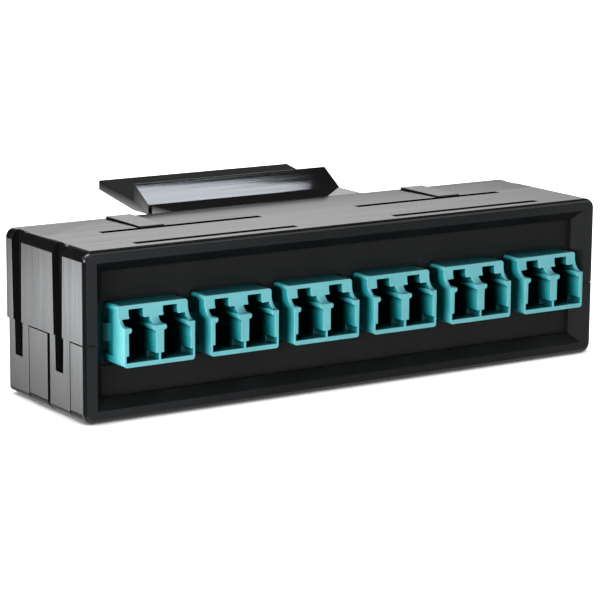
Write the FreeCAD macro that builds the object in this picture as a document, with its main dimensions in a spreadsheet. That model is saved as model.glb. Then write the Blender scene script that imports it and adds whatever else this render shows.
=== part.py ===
import FreeCAD, Part
import os
import Sketcher

# Fibre adapter panel: a snap-together shell, a plate loaded with duplex adapters and a rear latch.
# Millimetres. +X runs along the row of ports, -Y is the front, +Z is up.
# The origin is the centre of the shell's underside.

ADAPTER_COUNT = 6
HOLDER_SIDES = 8

DRIVING_DIMENSIONS = {
    # Shell, outside and walls
    "shell_width": 105.6,
    "shell_height": 28.6,
    "shell_depth": 27.2,
    "parting_height": 13.2,
    "parting_groove": 0.2,
    "parting_reveal": 0.4,
    "end_wall": 2.2,
    "skin_wall": 1.8,
    "edge_radius": 1.8,
    "front_radius": 0.8,
    "fuse_overlap": 0.2,
    # Front rim and its opening
    "opening_side": 4.15,
    "opening_margin": 3.75,
    "rim_bevel": 1.7,
    # Adapter plate and what holds it
    "plate_depth": 2.5,
    "plate_thickness": 1.4,
    "plate_clearance": 0.1,
    "tab_reach": 1.0,
    "rib_thickness": 1.2,
    "rib_height": 1.5,
    "slit_start": 10.1,
    "slit_length": 31.5,
    "second_slit_depth": 14.6,
    "rebate_margin": 0.7,
    "rebate_depth": 0.5,
    "rebate_radius": 1.4,
    # Roof: raised guide strips, and a crease behind which it falls slightly
    "strip_offset": 31.15,
    "strip_width": 4.8,
    "strip_start": 15.5,
    "strip_rise": 0.2,
    "crease_depth": 16.0,
    "roof_fall": 0.15,
    # Snap straps, their windows, pockets and catches
    "strap_width": 7.1,
    "strap_thickness": 1.4,
    "strap_depth": 8.95,
    "strap_pitch": 14.4,
    "strap_bottom": 0.4,
    "strap_inset": 0.25,
    "strap_round": 0.9,
    "strap_clearance": 0.15,
    "strap_front_gap": 0.7,
    "window_bottom": 7.2,
    "window_bottom_width": 2.6,
    "window_top_width": 3.6,
    "window_overcut": 0.1,
    "backing_thickness": 1.2,
    "catch_rise": 0.5,
    "catch_height": 2.2,
    "catch_width": 1.4,
    # Latch lever
    "latch_width": 41.0,
    "tongue_length": 8.0,
    "tongue_thickness": 1.6,
    "tongue_step": 0.4,
    "ramp_length": 5.0,
    "barb_rise": 3.1,
    "barb_land": 0.3,
    "finger_length": 12.8,
    "finger_rise": 2.0,
    "finger_thickness": 1.7,
    "hinge_gap": 0.05,
    "hinge_relief": 0.5,
    # Duplex adapter housing, outside
    "adapter_width": 13.2,
    "adapter_height": 9.8,
    "adapter_length": 27.0,
    "row_margin": 12.05,
    "row_lift": 0.25,
    "adapter_clearance": 0.1,
    "adapter_reach": 6.15,
    "crown_setback": 2.3,
    "crown_curve": 2.2,
    "shoulder_height": 6.5,
    "top_corner": 0.6,
    "bottom_corner": 0.5,
    "collar_margin": 0.55,
    "collar_thickness": 1.5,
    "recess_depth": 0.6,
    "recess_length": 2.2,
    "recess_bottom": 1.35,
    "recess_top_land": 0.9,
    "nose_grip": 0.3,
    "nose_height": 3.0,
    "nose_length": 1.0,
    # Port profile, seen from the front
    "floor_thickness": 0.77,
    "side_wall": 0.35,
    "rib_wall": 0.8,
    "web_half": 0.18,
    "post_half": 0.75,
    "relief_height": 1.9,
    "relief_depth": 3.0,
    "hook_bottom": 5.65,
    "hook_top": 6.6,
    "hook_reach": 0.55,
    "hook_radius": 0.4,
    "crown_wall": 0.7,
    "stem_half": 0.85,
    "key_bottom": 7.6,
    "key_block_half": 1.87,
    "key_side_wall": 2.05,
    "roof_thickness": 0.7,
    "port_depth": 12.0,
    # Sleeve holders and split sleeves
    "port_pitch": 6.25,
    "ferrule_height": 3.2,
    "tube_radius": 1.45,
    "tube_lip": 0.6,
    "ferrule_hole": 0.75,
    "sleeve_radius": 0.81,
    "sleeve_bore": 0.625,
    "sleeve_length": 6.8,
    "sleeve_slit": 0.3,
    "sleeve_clearance": 0.05,
}

doc = FreeCAD.newDocument("fibre_adapter_panel")
sheet = doc.addObject("Spreadsheet::Sheet", "dims")
for row, (alias, size) in enumerate(DRIVING_DIMENSIONS.items(), start=1):
    sheet.set(f"A{row}", alias)
    sheet.set(f"B{row}", str(size))
    sheet.setAlias(f"B{row}", alias)
doc.recompute()

# Places that several pieces share, as formulas of the sheet
HALF_WIDTH = "(dims.shell_width / 2)"
HALF_DEPTH = "(dims.shell_depth / 2)"
CAVITY_HALF = f"({HALF_WIDTH} - dims.end_wall)"
OPENING_HALF = f"({HALF_WIDTH} - dims.opening_side)"
ROOF_INSIDE = "(dims.shell_height - dims.skin_wall)"
ROOF_REAR = "(dims.shell_height - dims.roof_fall)"
PLATE_BACK = "(dims.plate_depth + dims.plate_thickness)"
SLIT_END = "(dims.slit_start + dims.slit_length)"
SLIT_HALF = "(dims.plate_thickness / 2 + dims.plate_clearance)"
STRAP_INSIDE = f"({HALF_WIDTH} - dims.strap_thickness)"
POCKET_FLOOR = f"({STRAP_INSIDE} - dims.strap_clearance)"
ADAPTER_HALF = "(dims.adapter_width / 2)"
ADAPTER_BOTTOM = "(dims.shell_height / 2 + dims.row_lift - dims.adapter_height / 2)"
ADAPTER_MIDDLE = f"(dims.adapter_length / 2 - dims.adapter_reach + dims.plate_depth - {HALF_DEPTH})"
HOUSING_LENGTH = "(dims.adapter_length / 2)"
PORT_CENTRE = "(dims.port_pitch / 2)"
SEAT_DEPTH = "(dims.sleeve_length / 2 + dims.sleeve_clearance)"
STRAP_PLACES = [f"(dims.strap_depth + {i} * dims.strap_pitch - {HALF_DEPTH})" for i in range(2)]
SLIT_PLACES = [
    f"(dims.plate_depth + dims.plate_thickness / 2 - {HALF_DEPTH})",
    f"(dims.second_slit_depth - {HALF_DEPTH})",
]
ADAPTER_PITCH = f"((dims.shell_width - 2 * dims.row_margin) / {ADAPTER_COUNT - 1})"
ADAPTER_PLACES = [f"({ADAPTER_PITCH} * {i - (ADAPTER_COUNT - 1) / 2})" for i in range(ADAPTER_COUNT)]
COLLAR_FRONT = f"({HOUSING_LENGTH} - dims.adapter_reach - dims.plate_thickness)"
COLLAR_BACK = f"({COLLAR_FRONT} - dims.collar_thickness)"


def size_of(formula):
    return float(sheet.evalExpression(formula))


def new_body(label):
    body = doc.addObject("PartDesign::Body", label)
    body.Label = label
    return body


def new_sketch(body, plane, offset):
    """A sketch on one of the body's origin planes, moved along the plane's normal by a formula."""
    sketch = body.newObject("Sketcher::SketchObject", f"{body.Name}_sketch")
    origin_plane = next(f for f in body.Origin.OriginFeatures if f.Role == f"{plane}_Plane")
    sketch.AttachmentSupport = [(origin_plane, "")]
    sketch.MapMode = "FlatFace"
    sketch.setExpression("AttachmentOffset.Base.z", offset)
    return sketch


def bind(sketch, kind, geometry, point, formula):
    """Hold one coordinate of a sketch point at a formula of the sheet."""
    constraint = Sketcher.Constraint(kind, -1, 1, geometry, point, size_of(formula))
    index = sketch.addConstraint(constraint)
    sketch.setExpression(f"Constraints[{index}]", formula)


def add_outline(sketch, corners):
    """A closed outline. A corner is (x, y) or (x, y, radius), all of them formulas."""
    count = len(corners)
    spots = [FreeCAD.Vector(size_of(c[0]), size_of(c[1]), 0) for c in corners]
    entries, exits = [], []
    for i, corner in enumerate(corners):
        trim = size_of(corner[2]) if len(corner) > 2 else 0.0
        entries.append(spots[i] + (spots[i - 1] - spots[i]).normalize() * trim)
        exits.append(spots[i] + (spots[(i + 1) % count] - spots[i]).normalize() * trim)

    lines = []
    for i in range(count):
        lines.append(sketch.addGeometry(Part.LineSegment(exits[i], entries[(i + 1) % count]), False))

    held = [set() for _ in corners]
    for i, line in enumerate(lines):
        start, end = corners[i], corners[(i + 1) % count]
        if start[1] == end[1]:
            sketch.addConstraint(Sketcher.Constraint("Horizontal", line))
            bind(sketch, "DistanceY", line, 1, start[1])
            held[i].add("DistanceY")
            held[(i + 1) % count].add("DistanceY")
        elif start[0] == end[0]:
            sketch.addConstraint(Sketcher.Constraint("Vertical", line))
            bind(sketch, "DistanceX", line, 1, start[0])
            held[i].add("DistanceX")
            held[(i + 1) % count].add("DistanceX")

    for i, corner in enumerate(corners):
        before, after = lines[i - 1], lines[i]
        if len(corner) > 2:
            round_corner(sketch, before, after, spots[i], entries[i], exits[i], corner[2])
            continue
        sketch.addConstraint(Sketcher.Constraint("Coincident", before, 2, after, 1))
        for axis, kind in enumerate(("DistanceX", "DistanceY")):
            if kind not in held[i]:
                bind(sketch, kind, after, 1, corner[axis])


def round_corner(sketch, before, after, spot, entry, leave, radius):
    """An arc between two square lines, tangent to both."""
    centre = entry + leave - spot
    middle = centre + (spot - centre).normalize() * size_of(radius)
    arc_shape = Part.Arc(entry, middle, leave)
    arc = sketch.addGeometry(arc_shape, False)
    arc_start = sketch.getPoint(arc, 1)
    first, last = (1, 2) if arc_start.distanceToPoint(entry) < arc_start.distanceToPoint(leave) else (2, 1)
    sketch.addConstraint(Sketcher.Constraint("Tangent", before, 2, arc, first))
    sketch.addConstraint(Sketcher.Constraint("Tangent", arc, last, after, 1))
    index = sketch.addConstraint(Sketcher.Constraint("Radius", arc, size_of(radius)))
    sketch.setExpression(f"Constraints[{index}]", radius)


def add_rectangle(sketch, left, bottom, right, top):
    add_outline(sketch, [(left, bottom), (right, bottom), (right, top), (left, top)])


def add_ring(sketch, x, y, radius):
    """An even-sided ring round a circle. The many small tubes have flats, which keeps them light."""
    step = 360 / HOLDER_SIDES
    reach = f"({radius} / cos({step / 2} deg))"
    corners = []
    for i in range(HOLDER_SIDES):
        angle = f"({step * (i + 0.5)} deg)"
        corners.append((f"({x} + {reach} * cos{angle})", f"({y} + {reach} * sin{angle})"))
    add_outline(sketch, corners)


def extrude(body, kind, sketch, length, reverse=False, symmetric=False):
    feature = body.newObject(f"PartDesign::{kind}", f"{body.Name}_{kind.lower()}")
    feature.Profile = sketch
    feature.setExpression("Length", length)
    feature.Reversed = reverse
    if symmetric:
        feature.SideType = "Symmetric"
    sketch.Visibility = False
    body.Tip = feature
    return feature


def pad(body, sketch, length, **options):
    return extrude(body, "Pad", sketch, length, **options)


def pocket(body, sketch, length, **options):
    return extrude(body, "Pocket", sketch, length, **options)


def dress_edges(body, kind, wanted, size_name, formula):
    """A fillet or chamfer on the edges that the test wants."""
    doc.recompute()
    base = body.Tip
    names = [f"Edge{i}" for i, edge in enumerate(base.Shape.Edges, start=1) if wanted(edge.BoundBox)]
    feature = body.newObject(f"PartDesign::{kind}", f"{body.Name}_{kind.lower()}")
    feature.Base = (base, names)
    feature.setExpression(size_name, formula)
    body.Tip = feature


def near(first, second):
    return abs(first - second) < 1e-4


def shape_front_rim(body, opening_low, opening_high, outer_z):
    """Bevel the opening and round the outer front edges of a shell half."""
    front = -size_of(HALF_DEPTH)
    side = size_of(OPENING_HALF)
    end = size_of(HALF_WIDTH)
    low, high = size_of(opening_low), size_of(opening_high)

    def in_front(box):
        return near(box.YMin, front) and near(box.YMax, front)

    def round_opening(box):
        across = box.XMin > -side - 1e-4 and box.XMax < side + 1e-4
        upright = box.ZMin > low - 1e-4 and box.ZMax < high + 1e-4
        flat_at_parting = near(box.ZMin, box.ZMax) and near(box.ZMin, size_of("dims.parting_height"))
        return in_front(box) and across and upright and not flat_at_parting

    def round_outside(box):
        at_end = near(abs(box.XMin), end) or near(abs(box.XMax), end)
        flat_at_parting = near(box.ZMin, box.ZMax) and near(box.ZMin, size_of("dims.parting_height"))
        along_skin = near(box.ZMin, size_of(outer_z)) and near(box.ZMax, size_of(outer_z))
        return in_front(box) and not flat_at_parting and (at_end or along_skin)

    dress_edges(body, "Chamfer", round_opening, "Size", "dims.rim_bevel")
    dress_edges(body, "Fillet", round_outside, "Radius", "dims.front_radius")


def add_plate_rib(body, low, high, inner_low, inner_high):
    """A rib round the inside that keeps the plate against the back of the rim."""
    back = f"({HALF_DEPTH} - {PLATE_BACK} - dims.plate_clearance)"
    outer = f"({CAVITY_HALF} + dims.fuse_overlap)"
    inner = f"({CAVITY_HALF} - dims.rib_height)"
    sketch = new_sketch(body, "XZ", back)
    if inner_low == low:
        corners = [
            (f"-{outer}", low), (f"-{inner}", low), (f"-{inner}", inner_high), (inner, inner_high),
            (inner, low), (outer, low), (outer, high), (f"-{outer}", high),
        ]
    else:
        corners = [
            (f"-{outer}", low), (outer, low), (outer, high), (inner, high),
            (inner, inner_low), (f"-{inner}", inner_low), (f"-{inner}", high), (f"-{outer}", high),
        ]
    add_outline(sketch, corners)
    pad(body, sketch, "dims.rib_thickness", reverse=True)


def cut_slits(body, level, reverse):
    """Two rows of slits in a skin. The front row takes the plate's tabs."""
    sketch = new_sketch(body, "XY", level)
    for place in SLIT_PLACES:
        low, high = f"({place} - {SLIT_HALF})", f"({place} + {SLIT_HALF})"
        add_rectangle(sketch, "dims.slit_start", low, SLIT_END, high)
        add_rectangle(sketch, f"-{SLIT_END}", low, "-dims.slit_start", high)
    pocket(body, sketch, "dims.skin_wall", reverse=reverse)


def build_upper_shell():
    body = new_body("upper_shell")
    outside = new_sketch(body, "XZ", "0")
    add_outline(outside, [
        (f"-{HALF_WIDTH}", "dims.parting_height"),
        (HALF_WIDTH, "dims.parting_height"),
        (HALF_WIDTH, "dims.shell_height", "dims.edge_radius"),
        (f"-{HALF_WIDTH}", "dims.shell_height", "dims.edge_radius"),
    ])
    pad(body, outside, "dims.shell_depth", symmetric=True)

    below = "(dims.parting_height - dims.skin_wall)"
    cavity = new_sketch(body, "XZ", f"-{HALF_DEPTH}")
    add_rectangle(cavity, f"-{CAVITY_HALF}", below, CAVITY_HALF, ROOF_INSIDE)
    pocket(body, cavity, "dims.shell_depth - dims.plate_depth", reverse=True)

    opening_top = "(dims.shell_height - dims.opening_margin)"
    opening = new_sketch(body, "XZ", HALF_DEPTH)
    add_rectangle(opening, f"-{OPENING_HALF}", below, OPENING_HALF, opening_top)
    pocket(body, opening, PLATE_BACK)
    shape_front_rim(body, "dims.parting_height", opening_top, "dims.shell_height")

    rib_low = f"({ROOF_INSIDE} - dims.rib_height)"
    roof_weld = f"({ROOF_INSIDE} + dims.fuse_overlap)"
    add_plate_rib(body, "dims.parting_height", roof_weld, "dims.parting_height", rib_low)
    cut_slits(body, "dims.shell_height", reverse=False)

    fall = new_sketch(body, "YZ", "0")
    add_outline(fall, [
        (f"(dims.crease_depth - {HALF_DEPTH})", "dims.shell_height"),
        (HALF_DEPTH, ROOF_REAR),
        (HALF_DEPTH, "dims.shell_height"),
    ])
    pocket(body, fall, "2 * dims.shell_width", symmetric=True)

    strips = new_sketch(body, "XY", f"{ROOF_REAR} - dims.fuse_overlap")
    for side in ("-", ""):
        centre = f"({side}dims.strip_offset)"
        start = f"(dims.strip_start - {HALF_DEPTH})"
        left, right = f"({centre} - dims.strip_width / 2)", f"({centre} + dims.strip_width / 2)"
        add_rectangle(strips, left, start, right, HALF_DEPTH)
    pad(body, strips, "dims.strip_rise + dims.roof_fall + dims.fuse_overlap")

    root = "(dims.parting_height + dims.skin_wall)"
    strap_outside = f"({HALF_WIDTH} - dims.strap_inset)"
    for place in STRAP_PLACES:
        for side in ("-", ""):
            strap = new_sketch(body, "XZ", f"-{place}")
            add_outline(strap, [
                (f"{side}{HALF_WIDTH}", root),
                (f"{side}{HALF_WIDTH}", "dims.parting_height"),
                (f"{side}{strap_outside}", "dims.parting_height"),
                (f"{side}{strap_outside}", "dims.strap_bottom", "dims.strap_round"),
                (f"{side}{STRAP_INSIDE}", "dims.strap_bottom"),
                (f"{side}{STRAP_INSIDE}", root),
            ])
            pad(body, strap, "dims.strap_width", symmetric=True)

    for side, reverse in (("-", True), ("", False)):
        windows = new_sketch(body, "YZ", f"{side}{HALF_WIDTH}")
        for place in STRAP_PLACES:
            add_outline(windows, [
                (f"({place} - dims.window_bottom_width / 2)", "dims.window_bottom"),
                (f"({place} + dims.window_bottom_width / 2)", "dims.window_bottom"),
                (f"({place} + dims.window_top_width / 2)", "(dims.shell_height + dims.fuse_overlap)"),
                (f"({place} - dims.window_top_width / 2)", "(dims.shell_height + dims.fuse_overlap)"),
            ])
        pocket(body, windows, "dims.strap_thickness + dims.window_overcut", reverse=reverse)
    return body


def build_lower_shell():
    body = new_body("lower_shell")
    outside = new_sketch(body, "XZ", "0")
    add_outline(outside, [
        (f"-{HALF_WIDTH}", "0", "dims.edge_radius"),
        (HALF_WIDTH, "0", "dims.edge_radius"),
        (HALF_WIDTH, "dims.parting_height"),
        (f"-{HALF_WIDTH}", "dims.parting_height"),
    ])
    pad(body, outside, "dims.shell_depth", symmetric=True)

    above = "(dims.parting_height + dims.skin_wall)"
    cavity = new_sketch(body, "XZ", f"-{HALF_DEPTH}")
    add_rectangle(cavity, f"-{CAVITY_HALF}", "dims.skin_wall", CAVITY_HALF, above)
    pocket(body, cavity, "dims.shell_depth - dims.plate_depth", reverse=True)

    opening = new_sketch(body, "XZ", HALF_DEPTH)
    add_rectangle(opening, f"-{OPENING_HALF}", "dims.opening_margin", OPENING_HALF, above)
    pocket(body, opening, PLATE_BACK)
    shape_front_rim(body, "dims.opening_margin", "dims.parting_height", "0")

    rib_high = "(dims.skin_wall + dims.rib_height)"
    floor_weld = "(dims.skin_wall - dims.fuse_overlap)"
    add_plate_rib(body, floor_weld, "dims.parting_height", rib_high, "dims.parting_height")
    cut_slits(body, "0", reverse=True)

    rib_back = f"({PLATE_BACK} + dims.plate_clearance + dims.rib_thickness - dims.fuse_overlap)"
    backings = new_sketch(body, "XZ", f"-{HALF_DEPTH}")
    for side in ("-", ""):
        inside = f"{side}({CAVITY_HALF} - dims.backing_thickness)"
        outside_wall = f"{side}({CAVITY_HALF} + dims.fuse_overlap)"
        add_rectangle(backings, inside, floor_weld, outside_wall, "dims.parting_height")
    pad(body, backings, f"dims.shell_depth - {rib_back}")

    behind = f"({HALF_DEPTH} + dims.skin_wall)"
    rear_sides = (f"({STRAP_PLACES[0]} + dims.strap_width / 2 + dims.strap_clearance)", behind)
    for side, reverse in (("-", True), ("", False)):
        pockets = new_sketch(body, "YZ", f"{side}{HALF_WIDTH}")
        for place, rear_side in zip(STRAP_PLACES, rear_sides):
            front_side = f"({place} - dims.strap_width / 2 - dims.strap_front_gap)"
            add_rectangle(pockets, front_side, "-dims.skin_wall", rear_side, above)
        pocket(body, pockets, "dims.strap_thickness + dims.strap_clearance", reverse=reverse)

    catch_low = "(dims.window_bottom + dims.strap_clearance)"
    catch_root = f"({POCKET_FLOOR} - dims.fuse_overlap)"
    for place in STRAP_PLACES:
        for side in ("-", ""):
            catch = new_sketch(body, "XZ", f"-{place}")
            add_outline(catch, [
                (f"{side}{catch_root}", catch_low),
                (f"{side}({POCKET_FLOOR} + dims.catch_rise)", catch_low),
                (f"{side}{POCKET_FLOOR}", f"({catch_low} + dims.catch_height)"),
                (f"{side}{catch_root}", f"({catch_low} + dims.catch_height)"),
            ])
            pad(body, catch, "dims.catch_width", symmetric=True)

    far = f"({HALF_WIDTH} + dims.skin_wall)"
    reveal_side = f"({HALF_WIDTH} - dims.parting_reveal)"
    reveal_front = f"(dims.parting_reveal - {HALF_DEPTH})"
    groove = new_sketch(body, "XY", "dims.parting_height")
    add_outline(groove, [
        (f"-{far}", f"-{behind}"), (far, f"-{behind}"), (far, behind), (reveal_side, behind),
        (reveal_side, reveal_front), (f"-{reveal_side}", reveal_front),
        (f"-{reveal_side}", behind), (f"-{far}", behind),
    ])
    pocket(body, groove, "dims.parting_groove")
    return body


def build_adapter_plate():
    body = new_body("adapter_plate")
    half = f"({CAVITY_HALF} - dims.plate_clearance)"
    low, high = "(dims.skin_wall + dims.plate_clearance)", f"({ROOF_INSIDE} - dims.plate_clearance)"
    tab_low, tab_high = "(dims.skin_wall - dims.tab_reach)", f"({ROOF_INSIDE} + dims.tab_reach)"
    tab_start = "(dims.slit_start + dims.plate_clearance)"
    tab_end = f"({SLIT_END} - dims.plate_clearance)"
    tab_steps = [f"-{tab_end}", f"-{tab_start}", tab_start, tab_end]

    bottom_edge = [(f"-{half}", low)]
    top_edge = [(f"-{half}", high)]
    for step, inward in zip(tab_steps, (True, False, True, False)):
        bottom_edge += [(step, low), (step, tab_low)] if inward else [(step, tab_low), (step, low)]
        top_edge += [(step, high), (step, tab_high)] if inward else [(step, tab_high), (step, high)]
    bottom_edge.append((half, low))
    top_edge.append((half, high))

    front = f"({HALF_DEPTH} - dims.plate_depth)"
    outline = new_sketch(body, "XZ", front)
    add_outline(outline, bottom_edge + top_edge[::-1])
    pad(body, outline, "dims.plate_thickness", reverse=True)

    for margin, depth, top_round in (
        ("dims.adapter_clearance", "dims.plate_thickness", ()),
        ("dims.rebate_margin", "dims.rebate_depth", ("dims.rebate_radius",)),
    ):
        holes = new_sketch(body, "XZ", front)
        for place in ADAPTER_PLACES:
            left, right = f"({place} - {ADAPTER_HALF} - {margin})", f"({place} + {ADAPTER_HALF} + {margin})"
            bottom = f"({ADAPTER_BOTTOM} - {margin})"
            top = f"({ADAPTER_BOTTOM} + dims.adapter_height + {margin})"
            add_outline(holes, [
                (left, bottom), (right, bottom), (right, top) + top_round, (left, top) + top_round,
            ])
        pocket(body, holes, depth)
    return body


def build_latch_lever():
    """A thin tongue on a relieved root carries a head with a ramp, a barb and a rising finger plate."""
    body = new_body("latch_lever")
    root = f"({HALF_DEPTH} + dims.hinge_gap)"
    nose = f"({HALF_DEPTH} + dims.tongue_length)"
    crest = f"({nose} + dims.ramp_length)"
    barb_face = f"({crest} + dims.barb_land)"
    finger_end = f"({barb_face} + dims.finger_length)"
    crest_height = f"({ROOF_REAR} + dims.barb_rise)"
    tongue_under = f"({ROOF_REAR} - dims.tongue_thickness)"
    head_under = f"({ROOF_REAR} - dims.finger_thickness)"
    finger_tip = f"({ROOF_REAR} + dims.finger_rise)"
    tongue = new_sketch(body, "YZ", "0")
    add_outline(tongue, [
        (root, ROOF_REAR),
        (f"({root} + dims.hinge_relief)", tongue_under),
        (f"({nose} + dims.fuse_overlap)", tongue_under),
        (f"({nose} + dims.fuse_overlap)", ROOF_REAR),
    ])
    pad(body, tongue, "dims.latch_width - 2 * dims.tongue_step", symmetric=True)

    head = new_sketch(body, "YZ", "0")
    add_outline(head, [
        (nose, ROOF_REAR),
        (nose, head_under),
        (barb_face, head_under),
        (finger_end, f"({finger_tip} - dims.finger_thickness)"),
        (finger_end, finger_tip),
        (barb_face, ROOF_REAR),
        (barb_face, crest_height),
        (crest, crest_height),
    ])
    pad(body, head, "dims.latch_width", symmetric=True)
    return body


def port_outline(side, rounded):
    """One port of a housing, from the floor up past the hooks to the key slot; side is 1 or -1."""
    hook_round = ("dims.hook_radius",) if rounded else ()
    rib = f"({ADAPTER_HALF} - dims.rib_wall)"
    roof = "(dims.adapter_height - dims.roof_thickness)"
    hook_out = f"({rib} - dims.hook_reach)"
    hook_in = "(dims.post_half + dims.hook_reach)"
    crown = f"({ADAPTER_HALF} - dims.crown_wall)"
    key_out = f"({ADAPTER_HALF} - dims.key_side_wall)"
    corners = [
        ("dims.post_half", "dims.floor_thickness"),
        (rib, "dims.floor_thickness"),
        (rib, "dims.hook_bottom"),
        (hook_out, "dims.hook_bottom") + hook_round,
        (hook_out, "dims.hook_top") + hook_round,
        (crown, "dims.hook_top"),
        (crown, "dims.key_bottom"),
        (key_out, "dims.key_bottom"),
        (key_out, roof),
        ("dims.key_block_half", roof),
        ("dims.key_block_half", "dims.key_bottom"),
        ("dims.stem_half", "dims.key_bottom"),
        ("dims.stem_half", "dims.hook_top"),
        (hook_in, "dims.hook_top") + hook_round,
        (hook_in, "dims.hook_bottom") + hook_round,
        ("dims.post_half", "dims.hook_bottom"),
    ]
    if side > 0:
        return corners
    return [(f"-{corner[0]}",) + corner[1:] for corner in corners]


def add_plate_grip(body):
    """Collar behind the plate, and recessed snap noses in front of it, on both flanks."""
    plate_front = f"({HOUSING_LENGTH} - dims.adapter_reach)"
    outer = f"({ADAPTER_HALF} + dims.collar_margin)"
    collar_top = "(dims.adapter_height + dims.collar_margin)"
    collar = new_sketch(body, "XZ", COLLAR_FRONT)
    add_rectangle(collar, f"-{outer}", "-dims.collar_margin", outer, collar_top)
    pad(body, collar, "dims.collar_thickness", reverse=True)

    recess_front = f"({plate_front} + dims.recess_length)"
    recess_top = "(dims.adapter_height - dims.recess_top_land)"
    for side, reverse in (("-", True), ("", False)):
        recess = new_sketch(body, "YZ", f"{side}{ADAPTER_HALF}")
        add_rectangle(recess, f"-{recess_front}", "dims.recess_bottom", f"-{COLLAR_FRONT}", recess_top)
        pocket(body, recess, "dims.recess_depth", reverse=reverse)

    floor = f"({ADAPTER_HALF} - dims.recess_depth)"
    nose_front = f"({plate_front} + dims.nose_length - dims.rebate_depth)"
    tip = f"({ADAPTER_HALF} + dims.adapter_clearance + dims.nose_grip)"
    back = f"({plate_front} - dims.rebate_depth + dims.adapter_clearance)"
    weld = f"({floor} - dims.fuse_overlap)"
    noses = new_sketch(body, "XY", "dims.adapter_height / 2")
    for side in ("-", ""):
        add_outline(noses, [
            (f"{side}{weld}", f"-{nose_front}"),
            (f"{side}{floor}", f"-{nose_front}"),
            (f"{side}{tip}", f"-{back}"),
            (f"{side}{weld}", f"-{back}"),
        ])
    pad(body, noses, "dims.nose_height", symmetric=True)


def build_housing(label, place, faces_front):
    """Half of a duplex adapter. Its joint face is at local Y 0 and its ports open towards local -Y."""
    body = new_body(label)
    block = new_sketch(body, "XZ", "0")
    add_rectangle(block, f"-{ADAPTER_HALF}", "0", ADAPTER_HALF, "dims.adapter_height")
    pad(body, block, COLLAR_FRONT if faces_front else HOUSING_LENGTH)
    if faces_front:
        outside = new_sketch(body, "XZ", COLLAR_BACK)
        add_outline(outside, [
            (f"-{ADAPTER_HALF}", "0", "dims.bottom_corner"),
            (ADAPTER_HALF, "0", "dims.bottom_corner"),
            (ADAPTER_HALF, "dims.adapter_height", "dims.top_corner"),
            (f"-{ADAPTER_HALF}", "dims.adapter_height", "dims.top_corner"),
        ])
        pad(body, outside, f"{HOUSING_LENGTH} - {COLLAR_BACK}")
        add_plate_grip(body)

    ahead = f"-({HOUSING_LENGTH} + dims.crown_setback)"
    crown_face = f"-({HOUSING_LENGTH} - dims.crown_setback)"
    over = "(dims.adapter_height + dims.crown_curve)"
    crown = new_sketch(body, "YZ", "0")
    add_outline(crown, [
        (ahead, "dims.shoulder_height"),
        (crown_face, "dims.shoulder_height", "dims.crown_curve"),
        (crown_face, over),
        (ahead, over),
    ])
    pocket(body, crown, "2 * dims.adapter_width", symmetric=True)

    ports = new_sketch(body, "XZ", HOUSING_LENGTH)
    for side in (-1, 1):
        add_outline(ports, port_outline(side, rounded=faces_front))
    pocket(body, ports, "dims.port_depth")

    reliefs = new_sketch(body, "XZ", HOUSING_LENGTH)
    for side in ("-", ""):
        web, wall = f"{side}dims.web_half", f"{side}({ADAPTER_HALF} - dims.side_wall)"
        add_rectangle(reliefs, web, "dims.floor_thickness", wall, "dims.relief_height")
    pocket(body, reliefs, "dims.relief_depth")

    tube_length = f"({SEAT_DEPTH} + dims.tube_lip - ({HOUSING_LENGTH} - dims.port_depth))"
    for radius, start, length, cut in (
        ("dims.tube_radius", f"({HOUSING_LENGTH} - dims.port_depth)", tube_length, False),
        ("(dims.sleeve_radius + dims.sleeve_clearance)", "0", SEAT_DEPTH, True),
        ("dims.ferrule_hole", "0", f"({SEAT_DEPTH} + 2 * dims.tube_lip)", True),
    ):
        rounds = new_sketch(body, "XZ", start)
        for side in ("-", ""):
            add_ring(rounds, f"{side}{PORT_CENTRE}", "dims.ferrule_height", radius)
        if cut:
            pocket(body, rounds, length, reverse=True)
        else:
            pad(body, rounds, length)

    if not faces_front:
        body.Placement = FreeCAD.Placement(
            FreeCAD.Vector(0, 0, 0), FreeCAD.Rotation(FreeCAD.Vector(0, 0, 1), 180)
        )
    set_place(body, place, ADAPTER_MIDDLE, ADAPTER_BOTTOM)
    return body


def build_sleeve(label, place):
    """Split alignment sleeve that holds two ferrules tip to tip."""
    body = new_body(label)
    ring = new_sketch(body, "XZ", "0")
    add_ring(ring, "0", "0", "dims.sleeve_radius")
    add_ring(ring, "0", "0", "dims.sleeve_bore")
    pad(body, ring, "dims.sleeve_length", symmetric=True)
    slit = new_sketch(body, "XZ", "0")
    add_rectangle(slit, "-dims.sleeve_slit / 2", "0", "dims.sleeve_slit / 2", "2 * dims.sleeve_radius")
    pocket(body, slit, "2 * dims.sleeve_length", symmetric=True)
    set_place(body, place, ADAPTER_MIDDLE, f"({ADAPTER_BOTTOM} + dims.ferrule_height)")
    return body


def set_place(body, x, y, z):
    for axis, formula in zip("xyz", (x, y, z)):
        body.setExpression(f"Placement.Base.{axis}", formula)


pieces = [build_upper_shell(), build_lower_shell(), build_adapter_plate(), build_latch_lever()]
for number, adapter_place in enumerate(ADAPTER_PLACES, start=1):
    pieces.append(build_housing(f"adapter_front_{number}", adapter_place, faces_front=True))
    pieces.append(build_housing(f"adapter_rear_{number}", adapter_place, faces_front=False))
    for letter, sign in (("a", "-"), ("b", "+")):
        sleeve_place = f"({adapter_place} {sign} {PORT_CENTRE})"
        pieces.append(build_sleeve(f"sleeve_{number}{letter}", sleeve_place))
doc.recompute()

failed = [item.Name for item in doc.Objects if {"Invalid", "Error"} & set(item.State)]
failed += [piece.Label for piece in pieces if piece.Shape.isNull() or not piece.Shape.isValid()]
if failed:
    raise RuntimeError(f"these objects did not build: {failed}")

os.makedirs("parts", exist_ok=True)
for piece in pieces:
    piece.Shape.exportStep(f"parts/{piece.Label}.step")
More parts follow.
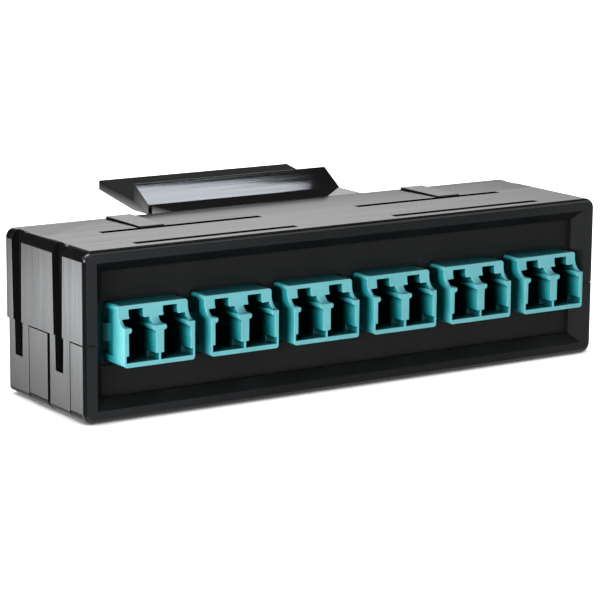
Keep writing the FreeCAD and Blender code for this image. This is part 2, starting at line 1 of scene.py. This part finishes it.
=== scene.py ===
import bpy
import math
from mathutils import Euler, Matrix, Vector


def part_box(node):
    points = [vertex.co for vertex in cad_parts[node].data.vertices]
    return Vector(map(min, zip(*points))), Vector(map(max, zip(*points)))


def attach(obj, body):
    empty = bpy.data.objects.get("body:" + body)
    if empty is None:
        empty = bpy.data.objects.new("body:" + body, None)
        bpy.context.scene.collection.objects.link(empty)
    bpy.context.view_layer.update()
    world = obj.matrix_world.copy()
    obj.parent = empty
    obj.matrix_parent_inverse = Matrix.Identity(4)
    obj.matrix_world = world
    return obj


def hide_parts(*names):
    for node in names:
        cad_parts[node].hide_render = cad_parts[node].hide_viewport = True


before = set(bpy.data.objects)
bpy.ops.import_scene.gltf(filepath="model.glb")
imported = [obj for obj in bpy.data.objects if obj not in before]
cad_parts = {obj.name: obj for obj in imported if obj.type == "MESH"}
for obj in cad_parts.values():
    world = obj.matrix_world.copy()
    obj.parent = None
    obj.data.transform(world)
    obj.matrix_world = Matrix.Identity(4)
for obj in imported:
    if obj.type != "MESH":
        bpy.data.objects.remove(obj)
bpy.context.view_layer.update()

# Lower shell
# The tray half of the shell: floor, lower rim and end walls with pockets for the snap straps.
# Injection moulded in black plastic from a polished tool, with softly broken edges.
# The walls of the front opening are duller than the outside.
SHELL_EDGE = 0.00005
BEVEL_ANGLE = math.radians(28)
SMOOTH_ANGLE = math.radians(50)
FLAT_ANGLE = math.radians(0.2)
MERGE_GAP = 1e-6
FLAT_WEIGHT = 100
NOISE_LOW = 0.3
NOISE_HIGH = 0.7
BLACK_DARK = (0.0035, 0.0037, 0.004)
BLACK_PALE = (0.0055, 0.0057, 0.006)
BLOTCH_SCALE = 90.0
STREAK_STRETCH = (35, 1400, 35)
FINE_GRAIN_SCALE = 5200.0
FINE_GRAIN_SHARE = 0.02
BLACK_IOR = 1.62
BLACK_SHEEN = (0.93, 0.965, 1.0, 1)
SHELL_ROUGHNESS = (0.10, 0.16)
SHELL_STREAK_HEIGHT = 0.0000016
RECESS_DARK = (0.0032, 0.0036, 0.0038)
RECESS_PALE = (0.0046, 0.005, 0.0052)
RECESS_GRAIN_SCALE = 6000.0
RECESS_ROUGHNESS = (0.36, 0.46)
RECESS_GLOSS = 0.2
RIM_SIDE = 0.0023
RIM_BAND = 0.0019
EDGE_OF_RIM = 0.0001
RECESS_DEPTH = 0.004
shell_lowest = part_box("lower_shell")[0]
shell_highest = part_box("upper_shell")[1]


def moulded_copy(node, edge):
    """A merged copy of a solid whose sharp edges are broken the way a moulding's are."""
    piece = bpy.data.objects.new(f"{node}_moulding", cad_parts[node].data.copy())
    bpy.context.scene.collection.objects.link(piece)
    bpy.ops.object.select_all(action="DESELECT")
    piece.select_set(True)
    bpy.context.view_layer.objects.active = piece
    piece.data.materials.clear()
    bpy.ops.mesh.customdata_custom_splitnormals_clear()
    bpy.ops.object.mode_set(mode="EDIT")
    bpy.ops.mesh.select_all(action="SELECT")
    bpy.ops.mesh.remove_doubles(threshold=MERGE_GAP)
    bpy.ops.mesh.dissolve_limited(angle_limit=FLAT_ANGLE)
    bpy.ops.object.mode_set(mode="OBJECT")
    rounding = piece.modifiers.new("broken_edges", "BEVEL")
    rounding.width = edge
    rounding.segments = 2
    rounding.limit_method = "ANGLE"
    rounding.angle_limit = BEVEL_ANGLE
    rounding.use_clamp_overlap = True
    bpy.ops.object.modifier_apply(modifier=rounding.name)
    lowest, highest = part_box(node)
    for vertex in piece.data.vertices:
        vertex.co = [min(max(v, low), high) for v, low, high in zip(vertex.co, lowest, highest)]
    bpy.ops.object.shade_smooth_by_angle(angle=SMOOTH_ANGLE)
    flats = piece.modifiers.new("flat_faces", "WEIGHTED_NORMAL")
    flats.weight = FLAT_WEIGHT
    flats.keep_sharp = True
    bpy.ops.object.modifier_apply(modifier=flats.name)
    return piece


def seat(piece, node, body, material):
    """Hang a finished piece on its body in place of the solid."""
    piece.data.materials.append(material)
    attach(piece, body)
    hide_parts(node)


def new_material(name):
    """A material with its nodes, its links and its shader."""
    material = bpy.data.materials.new(name)
    material.use_nodes = True
    nodes = material.node_tree.nodes
    return material, nodes, material.node_tree.links, nodes["Principled BSDF"]


def noise(nodes, links, scale, stretch=(1, 1, 1), detail=4.0):
    """Noise on the piece's own coordinates; scale is in cycles for each metre."""
    place = nodes.new("ShaderNodeTexCoord")
    mapping = nodes.new("ShaderNodeMapping")
    mapping.inputs["Scale"].default_value = stretch
    texture = nodes.new("ShaderNodeTexNoise")
    texture.inputs["Scale"].default_value = scale
    texture.inputs["Detail"].default_value = detail
    links.new(place.outputs["Object"], mapping.inputs["Vector"])
    links.new(mapping.outputs["Vector"], texture.inputs["Vector"])
    return texture.outputs["Fac"]


def spread(nodes, links, source, low, high):
    """The middle of a noise stretched to run from low to high."""
    remap = nodes.new("ShaderNodeMapRange")
    remap.inputs["From Min"].default_value = NOISE_LOW
    remap.inputs["From Max"].default_value = NOISE_HIGH
    remap.inputs["To Min"].default_value = low
    remap.inputs["To Max"].default_value = high
    links.new(source, remap.inputs["Value"])
    return remap.outputs["Result"]


def tint(nodes, links, source, dark, pale):
    """The middle of a noise as a run from a dark colour to a pale one."""
    ramp = nodes.new("ShaderNodeValToRGB")
    ramp.color_ramp.elements[0].position = NOISE_LOW
    ramp.color_ramp.elements[0].color = (*dark, 1)
    ramp.color_ramp.elements[1].position = NOISE_HIGH
    ramp.color_ramp.elements[1].color = (*pale, 1)
    links.new(source, ramp.inputs["Fac"])
    return ramp.outputs["Color"]


def bump(nodes, links, source, height, under=None):
    """A relief of a height in metres, laid over another one if that is given."""
    relief = nodes.new("ShaderNodeBump")
    relief.inputs["Strength"].default_value = 1.0
    relief.inputs["Distance"].default_value = height
    links.new(source, relief.inputs["Height"])
    if under is not None:
        links.new(under, relief.inputs["Normal"])
    return relief.outputs["Normal"]


def polished_black(name, roughness, streak_height):
    """Polished black plastic with faint draw streaks across its depth and slow sink waves."""
    material, nodes, links, shader = new_material(name)
    blotch = noise(nodes, links, BLOTCH_SCALE)
    streaks = noise(nodes, links, 1.0, stretch=STREAK_STRETCH, detail=3.0)
    grain = noise(nodes, links, FINE_GRAIN_SCALE, detail=2.0)
    links.new(tint(nodes, links, blotch, BLACK_DARK, BLACK_PALE), shader.inputs["Base Color"])
    links.new(spread(nodes, links, streaks, *roughness), shader.inputs["Roughness"])
    waves = bump(nodes, links, streaks, streak_height)
    relief = bump(nodes, links, grain, streak_height * FINE_GRAIN_SHARE, under=waves)
    links.new(relief, shader.inputs["Normal"])
    shader.inputs["IOR"].default_value = BLACK_IOR
    shader.inputs["Specular Tint"].default_value = BLACK_SHEEN
    return material


def dull_black(name):
    """The black of the front opening's walls, dull from a fine grain."""
    material, nodes, links, shader = new_material(name)
    grain = noise(nodes, links, RECESS_GRAIN_SCALE, detail=2.0)
    links.new(tint(nodes, links, grain, RECESS_DARK, RECESS_PALE), shader.inputs["Base Color"])
    links.new(spread(nodes, links, grain, *RECESS_ROUGHNESS), shader.inputs["Roughness"])
    shader.inputs["Specular IOR Level"].default_value = RECESS_GLOSS
    return material


def dull_recess(piece):
    """Give the walls of the front opening a duller finish than the polished outside."""
    piece.data.materials.append(recess_black)
    left = shell_lowest.x + RIM_SIDE
    front = shell_lowest.y + EDGE_OF_RIM
    low = shell_lowest.z + RIM_BAND
    high = shell_highest.z - RIM_BAND
    for face in piece.data.polygons:
        x, y, z = face.center
        if abs(x) < -left and front < y < front + RECESS_DEPTH and low < z < high:
            face.material_index = 1


recess_black = dull_black("recess_black")
shell_black = polished_black("shell_black", SHELL_ROUGHNESS, SHELL_STREAK_HEIGHT)
lower_shell = moulded_copy("lower_shell", SHELL_EDGE)
seat(lower_shell, "lower_shell", "shell", shell_black)
dull_recess(lower_shell)

# Adapter plate
# A thin black plate with a rebated cut-out for each adapter, its tabs caught in slits of both shells.
# Moulded with a fine satin grain that scatters the light.
PLATE_EDGE = 0.00006
PLATE_DARK = (0.005, 0.0052, 0.0056)
PLATE_PALE = (0.0075, 0.0077, 0.0081)
PLATE_BLOTCH_SCALE = 140.0
PLATE_GRAIN_SCALE = 9000.0
PLATE_GRAIN_HEIGHT = 0.000006
PLATE_ROUGHNESS = (0.42, 0.55)
PLATE_GLOSS = 0.28
plate_satin, plate_nodes, plate_links, plate_shader = new_material("plate_satin")
plate_blotch = noise(plate_nodes, plate_links, PLATE_BLOTCH_SCALE)
plate_grain = noise(plate_nodes, plate_links, PLATE_GRAIN_SCALE, detail=3.0)
plate_colour = tint(plate_nodes, plate_links, plate_blotch, PLATE_DARK, PLATE_PALE)
plate_roughness = spread(plate_nodes, plate_links, plate_grain, *PLATE_ROUGHNESS)
plate_relief = bump(plate_nodes, plate_links, plate_grain, PLATE_GRAIN_HEIGHT)
plate_links.new(plate_colour, plate_shader.inputs["Base Color"])
plate_links.new(plate_roughness, plate_shader.inputs["Roughness"])
plate_links.new(plate_relief, plate_shader.inputs["Normal"])
plate_shader.inputs["Specular IOR Level"].default_value = PLATE_GLOSS
adapter_plate = moulded_copy("adapter_plate", PLATE_EDGE)
seat(adapter_plate, "adapter_plate", "shell", plate_satin)

# Split sleeves
# White zirconia tubes, slit along their length, that line up the two ferrules of a port.
# Ground and polished, and trapped between the two halves of a housing.
SLEEVE_EDGE = 0.00003
SLEEVE_DARK = (0.78, 0.77, 0.72)
SLEEVE_PALE = (0.86, 0.85, 0.81)
SLEEVE_CLOUD_SCALE = 900.0
SLEEVE_ROUGHNESS = (0.12, 0.22)
sleeve_white, sleeve_nodes, sleeve_links, sleeve_shader = new_material("sleeve_white")
sleeve_cloud = noise(sleeve_nodes, sleeve_links, SLEEVE_CLOUD_SCALE)
sleeve_colour = tint(sleeve_nodes, sleeve_links, sleeve_cloud, SLEEVE_DARK, SLEEVE_PALE)
sleeve_roughness = spread(sleeve_nodes, sleeve_links, sleeve_cloud, *SLEEVE_ROUGHNESS)
sleeve_links.new(sleeve_colour, sleeve_shader.inputs["Base Color"])
sleeve_links.new(sleeve_roughness, sleeve_shader.inputs["Roughness"])
sleeves = sorted(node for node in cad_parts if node.startswith("sleeve_"))
for node in sleeves:
    seat(moulded_copy(node, SLEEVE_EDGE), node, "shell", sleeve_white)

# Duplex adapters
# Each adapter is two aqua halves welded back to back, snapped into the plate from the front.
# Moulded in soft-gloss plastic with a faint flow pattern.
# Its colour carries painted shade from ambient occlusion: darkened to a teal shade where other pieces crowd
# it, and nearly to black inside its own ports.
ADAPTER_EDGE = 0.00009
AQUA_DARK = (0.14, 0.46, 0.50)
AQUA_PALE = (0.175, 0.52, 0.56)
# The next two colours are painted shade, not colours of the plastic: the teal that crowded spots are darkened
# to, and the near black inside the ports.
AQUA_PAINTED_SHADE = (0.004, 0.16, 0.18)
AQUA_PAINTED_DARKNESS = (0.0005, 0.012, 0.014)
AQUA_FLOW_SCALE = 220.0
AQUA_GRAIN_SCALE = 7000.0
AQUA_GRAIN_HEIGHT = 0.000004
AQUA_ROUGHNESS = (0.20, 0.28)
CAVITY_REACH = 0.012
CAVITY_SAMPLES = 8
DEEP_OPENNESS = 0.18
SHADE_OPENNESS = 0.44
CLOSED_OPENNESS = 0.42
FREE_OPENNESS = 0.80
aqua, aqua_nodes, aqua_links, aqua_shader = new_material("aqua_moulding")


def openness(own_walls_only):
    """How open a spot is, from 0 to 1, among all pieces or among the walls of its own piece."""
    sight = aqua_nodes.new("ShaderNodeAmbientOcclusion")
    sight.only_local = own_walls_only
    sight.samples = CAVITY_SAMPLES
    sight.inputs["Distance"].default_value = CAVITY_REACH
    return sight.outputs["AO"]


# Painted shade: the colour runs from near black deep in the adapter's own ports to the teal shade nearer their
# mouths.
port_painted_shade = aqua_nodes.new("ShaderNodeValToRGB")
port_painted_shade.color_ramp.interpolation = "EASE"
port_painted_shade.color_ramp.elements[0].position = DEEP_OPENNESS
port_painted_shade.color_ramp.elements[0].color = (*AQUA_PAINTED_DARKNESS, 1)
port_painted_shade.color_ramp.elements[1].position = SHADE_OPENNESS
port_painted_shade.color_ramp.elements[1].color = (*AQUA_PAINTED_SHADE, 1)
aqua_links.new(openness(own_walls_only=True), port_painted_shade.inputs["Fac"])
# Painted shade: where other pieces crowd the adapter, its lit aqua gives way to the painted shade colour.
painted_shade_fade = aqua_nodes.new("ShaderNodeMapRange")
painted_shade_fade.interpolation_type = "SMOOTHSTEP"
painted_shade_fade.inputs["From Min"].default_value = CLOSED_OPENNESS
painted_shade_fade.inputs["From Max"].default_value = FREE_OPENNESS
aqua_links.new(openness(own_walls_only=False), painted_shade_fade.inputs["Value"])
aqua_flow = noise(aqua_nodes, aqua_links, AQUA_FLOW_SCALE)
aqua_grain = noise(aqua_nodes, aqua_links, AQUA_GRAIN_SCALE, detail=2.0)
aqua_colour = aqua_nodes.new("ShaderNodeMix")
aqua_colour.data_type = "RGBA"
aqua_links.new(painted_shade_fade.outputs["Result"], aqua_colour.inputs["Factor"])
aqua_links.new(port_painted_shade.outputs["Color"], aqua_colour.inputs["A"])
aqua_links.new(tint(aqua_nodes, aqua_links, aqua_flow, AQUA_DARK, AQUA_PALE), aqua_colour.inputs["B"])
aqua_roughness = spread(aqua_nodes, aqua_links, aqua_grain, *AQUA_ROUGHNESS)
aqua_relief = bump(aqua_nodes, aqua_links, aqua_grain, AQUA_GRAIN_HEIGHT)
aqua_links.new(aqua_colour.outputs["Result"], aqua_shader.inputs["Base Color"])
aqua_links.new(aqua_roughness, aqua_shader.inputs["Roughness"])
aqua_links.new(aqua_relief, aqua_shader.inputs["Normal"])
half_names = ("adapter_front_", "adapter_rear_")
adapter_halves = sorted(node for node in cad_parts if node.startswith(half_names))
for node in adapter_halves:
    seat(moulded_copy(node, ADAPTER_EDGE), node, "shell", aqua)

# Upper shell
# The lid half: roof with two rows of slits and two guide strips, upper rim, and two snap straps an end.
# The same polished black moulding; the straps spring into the lower shell's pockets and hold it shut.
upper_shell = moulded_copy("upper_shell", SHELL_EDGE)
seat(upper_shell, "upper_shell", "shell", shell_black)
dull_recess(upper_shell)

# Latch lever
# A springy tongue behind the roof with a polished ramp, a barb and a finger plate to press down.
# Moulded in the same black plastic; slow waves in the mirror-like ramp make its reflections ragged.
LATCH_ROUGHNESS = (0.02, 0.045)
LATCH_STREAK_HEIGHT = 0.0000012
latch_black = polished_black("latch_black", LATCH_ROUGHNESS, LATCH_STREAK_HEIGHT)
latch_lever = moulded_copy("latch_lever", SHELL_EDGE)
seat(latch_lever, "latch_lever", "latch", latch_black)

# Floor
# A plain pale sweep under the part. To the camera it glows white, less so close under the part,
# which leaves a narrow contact shadow. Reflections don't see it.
FLOOR_SIZE = 6.0
FLOOR_TONE = (0.86, 0.86, 0.86, 1)
FLOOR_ROUGHNESS = 0.9
CONTACT_REACH = 0.006
CONTACT_SAMPLES = 6
SHADOW_OPENNESS = 0.42
LIT_OPENNESS = 0.82
bpy.ops.object.select_all(action="DESELECT")
bpy.ops.mesh.primitive_plane_add(size=FLOOR_SIZE, location=(0, 0, 0))
floor = bpy.context.active_object
floor.name = "floor"
floor_white, floor_nodes, floor_links, floor_shader = new_material("floor_white")
floor_shader.inputs["Base Color"].default_value = FLOOR_TONE
floor_shader.inputs["Roughness"].default_value = FLOOR_ROUGHNESS
floor_shader.inputs["Specular IOR Level"].default_value = 0.0
contact = floor_nodes.new("ShaderNodeAmbientOcclusion")
contact.samples = CONTACT_SAMPLES
contact.inputs["Distance"].default_value = CONTACT_REACH
fade = floor_nodes.new("ShaderNodeMapRange")
fade.interpolation_type = "SMOOTHSTEP"
fade.inputs["From Min"].default_value = SHADOW_OPENNESS
fade.inputs["From Max"].default_value = LIT_OPENNESS
floor_glow = floor_nodes.new("ShaderNodeEmission")
floor_glow.inputs["Color"].default_value = (1, 1, 1, 1)
floor_links.new(contact.outputs["AO"], fade.inputs["Value"])
floor_links.new(fade.outputs["Result"], floor_glow.inputs["Strength"])
floor_ray = floor_nodes.new("ShaderNodeLightPath")
lift = floor_nodes.new("ShaderNodeAddShader")
choose = floor_nodes.new("ShaderNodeMixShader")
floor_links.new(floor_shader.outputs["BSDF"], lift.inputs[0])
floor_links.new(floor_glow.outputs["Emission"], lift.inputs[1])
floor_links.new(floor_ray.outputs["Is Camera Ray"], choose.inputs["Fac"])
floor_links.new(floor_shader.outputs["BSDF"], choose.inputs[1])
floor_links.new(lift.outputs["Shader"], choose.inputs[2])
floor_links.new(choose.outputs["Shader"], floor_nodes["Material Output"].inputs["Surface"])
floor.data.materials.append(floor_white)
floor.visible_glossy = False

# Studio light
# A thin strip lamp overhead that the latch's ramp mirrors, a low key at the left, and lamps behind and beside.
# The world is white to the camera and a weak fill on dull surfaces, stronger from behind.
# Reflections see a dark room with soft cards, each placed for the surface that mirrors it.
ROOM_LEVEL = 0.012
ROOF_CARD_LEVEL = 1.2
END_CARD_LEVEL = 5.0
END_CARD_SLANT = 0.2
RIM_CARD_LEVEL = 0.33
CORNER_CARD_LEVEL = 8.0
HIGH_CARD_LEVEL = 7.0
GLOW_LEVEL = 0.8
GLOW_BAND = ((12, 22), (52, 38))
FILL_FRONT = 0.04
FILL_REAR = 0.40
FILL_STARTS = 0.1
FILL_FULL = 0.7
world = bpy.data.worlds.new("studio")
bpy.context.scene.world = world
world.use_nodes = True
world.cycles.sampling_method = "NONE"
world_nodes = world.node_tree.nodes
world_links = world.node_tree.links


def world_math(operation, first, second=None):
    """A calculation on one or two values, each a socket or a number."""
    node = world_nodes.new("ShaderNodeMath")
    node.operation = operation
    for socket, value in zip(node.inputs, (first, second)):
        if isinstance(value, bpy.types.NodeSocket):
            world_links.new(value, socket)
        elif value is not None:
            socket.default_value = value
    return node.outputs[0]


def world_step(source, start, end, low=0.0, high=1.0):
    """A soft step of an angle, given in degrees."""
    node = world_nodes.new("ShaderNodeMapRange")
    node.interpolation_type = "SMOOTHSTEP"
    node.inputs["From Min"].default_value = math.radians(start)
    node.inputs["From Max"].default_value = math.radians(end)
    node.inputs["To Min"].default_value = low
    node.inputs["To Max"].default_value = high
    world_links.new(source, node.inputs["Value"])
    return node.outputs["Result"]


def soft_card(level, turn_edges=(), rise_edges=(), factors=()):
    """A card of light: a level times its soft edges, each a step from one angle to another."""
    strength = level
    for source, edges in ((left_turn, turn_edges), (rise, rise_edges)):
        for edge in edges:
            strength = world_math("MULTIPLY", world_step(source, *edge), strength)
    for factor in factors:
        strength = world_math("MULTIPLY", factor, strength)
    return strength


# Directions: left_turn runs from the back to the left, front_turn from the front to the right, rise upwards.
toward = world_nodes.new("ShaderNodeTexCoord")
axes = world_nodes.new("ShaderNodeSeparateXYZ")
world_links.new(toward.outputs["Generated"], axes.inputs["Vector"])
to_left = world_math("MULTIPLY", axes.outputs["X"], -1.0)
to_front = world_math("MULTIPLY", axes.outputs["Y"], -1.0)
left_turn = world_math("ARCTAN2", to_left, axes.outputs["Y"])
front_turn = world_math("ARCTAN2", axes.outputs["X"], to_front)
rise = world_math("ARCSINE", axes.outputs["Z"])

# The roof mirrors a low card behind the part, the left end wall one at the left with a slanting edge.
roof_card = soft_card(
    ROOF_CARD_LEVEL,
    turn_edges=((5, -20), (-48, -33, 0.55, 1.0)),
    rise_edges=((6.0, 10.5, 0.1, 1.0), (22, 13, 0.08, 1.0)),
)
slant = world_math("ADD", left_turn, world_math("MULTIPLY", rise, END_CARD_SLANT))
end_card = soft_card(
    END_CARD_LEVEL,
    turn_edges=((75, 50),),
    rise_edges=((-15, -11, 0.35, 1.1), (-8.6, -11.6)),
    factors=(world_step(slant, 23.2, 26.4),),
)

# The rim mirrors a dim card in front, brighter for its two ends and a little brighter for its top.
rim_left = world_step(front_turn, 33.5, 29.5, 0.22, 1.0)
rim_right = world_step(front_turn, 39.0, 40.0, 0.0, 0.7)
rim_top = world_step(rise, -12.5, -10.3, 0.0, 0.3)
rim_shape = world_math("ADD", world_math("ADD", rim_left, rim_right), rim_top)
rim_card = soft_card(
    RIM_CARD_LEVEL,
    rise_edges=((5, -5),),
    factors=(rim_shape, world_step(front_turn, 80, 55), world_step(front_turn, -25, -10)),
)

# Rounded corners mirror a card at the front left and one high up, and the other sides see a glow all round.
corner_card = soft_card(
    CORNER_CARD_LEVEL,
    turn_edges=((95, 110), (150, 135)),
    rise_edges=((-4, 1), (16, 10)),
)
high_card = soft_card(HIGH_CARD_LEVEL, turn_edges=((85, 105),), rise_edges=((42, 50), (74, 66)))
left_glow = soft_card(GLOW_LEVEL, turn_edges=((35, 55),), rise_edges=GLOW_BAND)
right_glow = soft_card(GLOW_LEVEL, turn_edges=((-65, -85),), rise_edges=GLOW_BAND)
low_glow = soft_card(GLOW_LEVEL, rise_edges=((-16, -26, 0.0, 0.45),))
top_glow = soft_card(GLOW_LEVEL, rise_edges=((70, 80, 0.0, 0.7),))
room = ROOM_LEVEL
cards = (roof_card, end_card, rim_card, corner_card, high_card)
glows = (left_glow, right_glow, low_glow, top_glow)
for light in cards + glows:
    room = world_math("ADD", light, room)

# Each kind of ray gets its own level: the cards, the fill, or plain white for the camera.
fill = world_nodes.new("ShaderNodeMapRange")
fill.interpolation_type = "SMOOTHSTEP"
fill.inputs["From Min"].default_value = FILL_STARTS
fill.inputs["From Max"].default_value = FILL_FULL
fill.inputs["To Min"].default_value = FILL_FRONT
fill.inputs["To Max"].default_value = FILL_REAR
world_links.new(axes.outputs["Y"], fill.inputs["Value"])
rays = world_nodes.new("ShaderNodeLightPath")
shiny = world_math("MAXIMUM", rays.outputs["Is Glossy Ray"], rays.outputs["Is Transmission Ray"])
level = world_nodes.new("ShaderNodeMix")
level.data_type = "FLOAT"
world_links.new(shiny, level.inputs["Factor"])
world_links.new(fill.outputs["Result"], level.inputs["A"])
world_links.new(room, level.inputs["B"])
seen = world_nodes.new("ShaderNodeMix")
seen.data_type = "FLOAT"
world_links.new(rays.outputs["Is Camera Ray"], seen.inputs["Factor"])
world_links.new(level.outputs["Result"], seen.inputs["A"])
seen.inputs["B"].default_value = 1.0
world_links.new(seen.outputs["Result"], world_nodes["Background"].inputs["Strength"])
world_nodes["Background"].inputs["Color"].default_value = (1, 1, 1, 1)


def softbox(name, place, aim, size, radiance, colour=(1, 1, 1), shape="RECTANGLE", roll=0.0):
    """A flat lamp of even brightness, turned to face a point and rolled by an angle in degrees."""
    width, height = size
    lamp = bpy.data.lights.new(name, "AREA")
    lamp.shape = shape
    lamp.size = width
    lamp.size_y = height
    area = width * height * (math.pi / 4 if shape == "ELLIPSE" else 1)
    lamp.energy = radiance * math.pi * area
    lamp.color = colour
    box = bpy.data.objects.new(name, lamp)
    box.location = place
    facing = (Vector(aim) - Vector(place)).to_track_quat("-Z", "Y").to_matrix()
    box.rotation_euler = (facing @ Matrix.Rotation(math.radians(roll), 3, "Z")).to_euler()
    bpy.context.scene.collection.objects.link(box)
    return box


# Only the strip shows in reflections; the three boxes light without a mirror image.
softbox(
    "strip_light",
    place=(0.3215, 0.224, 0.7419),
    aim=(0, 0.024, 0.03),
    size=(0.30, 0.0145),
    radiance=6.8,
    colour=(0.93, 0.97, 1.03),
    shape="ELLIPSE",
    roll=54.3,
)
key_box = softbox(
    "key_box", place=(-0.74, -0.345, 0.075), aim=(0, -0.01, 0.02), size=(0.36, 0.13), radiance=82.0
)
rear_box = softbox(
    "rear_box", place=(-0.20, 0.85, 0.50), aim=(0, 0.03, 0.015), size=(0.50, 0.40), radiance=14.0
)
side_box = softbox(
    "side_box", place=(0.85, 0.12, 0.35), aim=(0, 0.01, 0.015), size=(0.50, 0.40), radiance=12.0
)
for lamp_box in (key_box, rear_box, side_box):
    lamp_box.visible_glossy = False

# Camera
# A long lens from the front left, a little above the part.
# Its place and turn come from the fit to the photograph's straight edges.
CAMERA_PLACE = (-0.245921, -0.369708, 0.104078)
CAMERA_LENS = 154.344
CAMERA_TILT = math.radians(78.394)
CAMERA_TURN = math.radians(-33.381)
CAMERA_ROLL = math.radians(0.477)
camera_data = bpy.data.cameras.new("camera")
camera_data.lens = CAMERA_LENS
camera_data.sensor_width = 36.0
camera = bpy.data.objects.new("camera", camera_data)
camera.location = CAMERA_PLACE
turn = Euler((CAMERA_TILT, 0, CAMERA_TURN)).to_matrix()
camera.rotation_euler = (turn @ Matrix.Rotation(CAMERA_ROLL, 3, "Z")).to_euler()
bpy.context.scene.collection.objects.link(camera)
bpy.context.scene.camera = camera
bpy.context.scene.view_settings.view_transform = "Standard"
